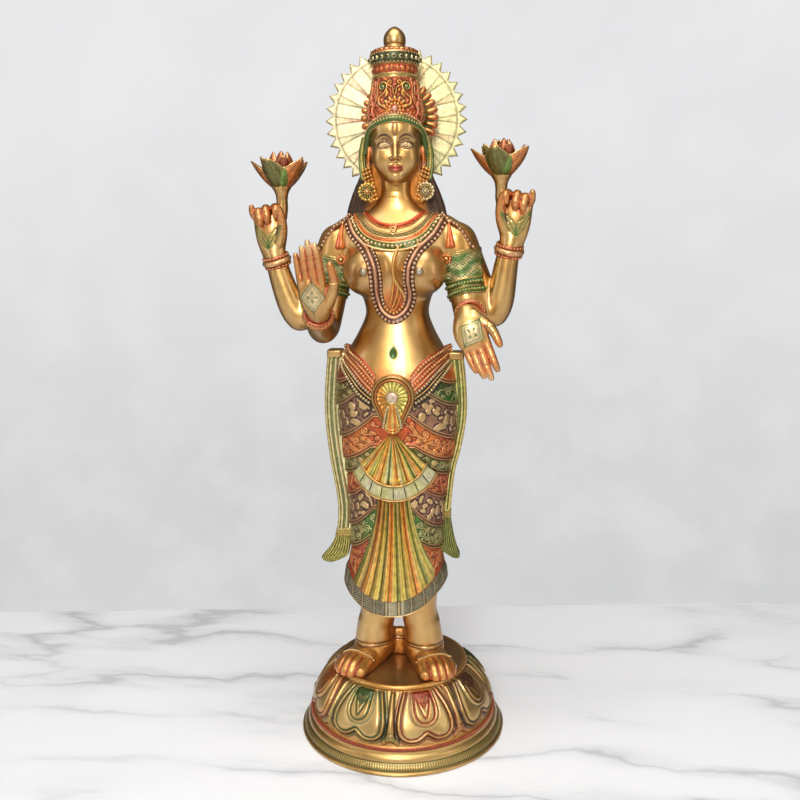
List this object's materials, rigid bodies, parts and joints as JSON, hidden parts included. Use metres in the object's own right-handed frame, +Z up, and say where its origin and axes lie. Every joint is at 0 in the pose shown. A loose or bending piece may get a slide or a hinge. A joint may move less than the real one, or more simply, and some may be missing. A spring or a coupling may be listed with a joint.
{
  "type": "standing goddess figure on lotus base",
  "caption": "Four-armed goddess standing on a round lotus base with a toothed halo behind her head, cast in brass with coloured enamel in the carving.",
  "frame": {"origin": "centre of the base's underside", "axes": "+Z up along the figure's height; the figure faces -Y; its left hand is towards +X"},
  "size_m": [0.3031, 0.232, 0.7623],
  "materials": {
    "figure_brass": "polished golden brass, with translucent red, orange, green and purple-brown enamel worked into the carving and the raised edges rubbed bright",
    "base_brass": "satin golden brass with green, red and purple-brown enamel outlines on the petals",
    "halo_brass": "pale lacquered sheet brass with thin engraved rays tinted red and green"
  },
  "bodies": {
    "root": {"figure": "figure_brass", "lotus_base": "base_brass", "halo": "halo_brass"}
  },
  "joints": []
}
